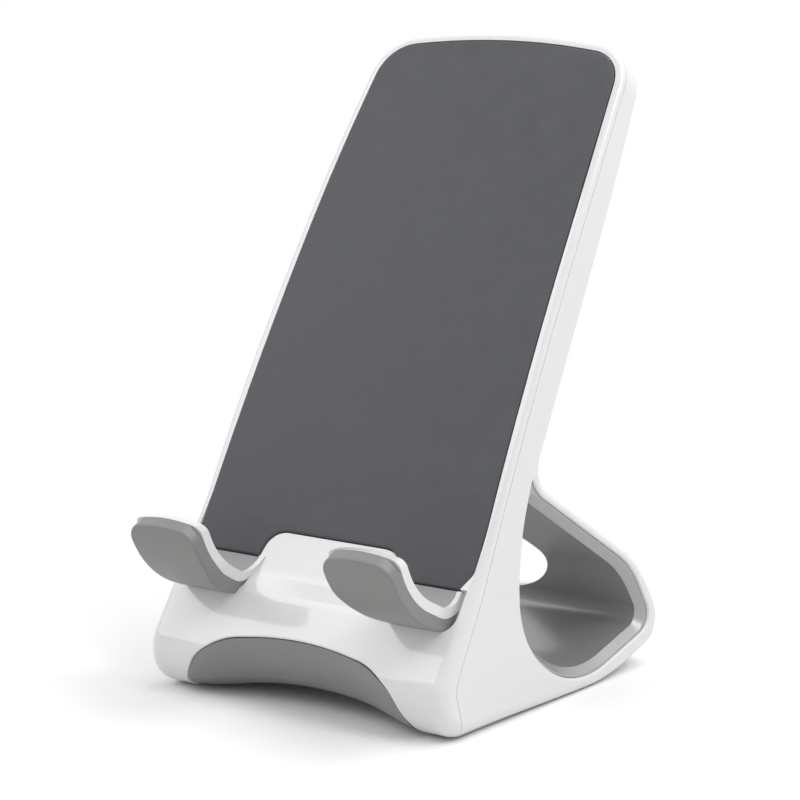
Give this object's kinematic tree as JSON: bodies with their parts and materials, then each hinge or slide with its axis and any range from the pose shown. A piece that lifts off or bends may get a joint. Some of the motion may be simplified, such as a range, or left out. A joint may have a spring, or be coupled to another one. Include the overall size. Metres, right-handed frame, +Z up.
{
  "type": "phone holder",
  "caption": "Desk holder that props a phone against a leaning padded rest on two forward hooks, with a rounded tunnel through the base and an oval cable hole behind",
  "frame": {"origin": "under the middle of the whole holder's outline, on the surface it stands on", "axes": "X across the holder and square to its mirror plane, +Y from the hooks to the back, +Z up; the rest leans back towards +Y"},
  "size_m": [0.0768, 0.0938, 0.134],
  "materials": {
    "shell_white": "glossy white moulded plastic",
    "pad_dark_grey": "fine soft-touch matte surface",
    "adhesive_clear": "thin adhesive sheet",
    "cover_grey": "satin grey moulded plastic",
    "hook_pad_grey": "fine matte soft pad",
    "liner_grey": "satin grey moulded plastic",
    "screw_steel": "plain steel",
    "foot_rubber": "matte rubber"
  },
  "bodies": {
    "root": {"front_shell": "shell_white", "rear_shell": "shell_white", "backrest_pad": "pad_dark_grey", "pad_adhesive": "adhesive_clear", "hook_cover_left": "cover_grey", "hook_cover_right": "cover_grey", "hook_pad_left": "hook_pad_grey", "hook_pad_right": "hook_pad_grey", "liner_left": "liner_grey", "liner_right": "liner_grey", "belly_panel": "liner_grey", "shell_screws": "screw_steel", "foot_front_left": "foot_rubber", "foot_front_right": "foot_rubber", "foot_rear_left": "foot_rubber", "foot_rear_right": "foot_rubber"}
  },
  "joints": []
}
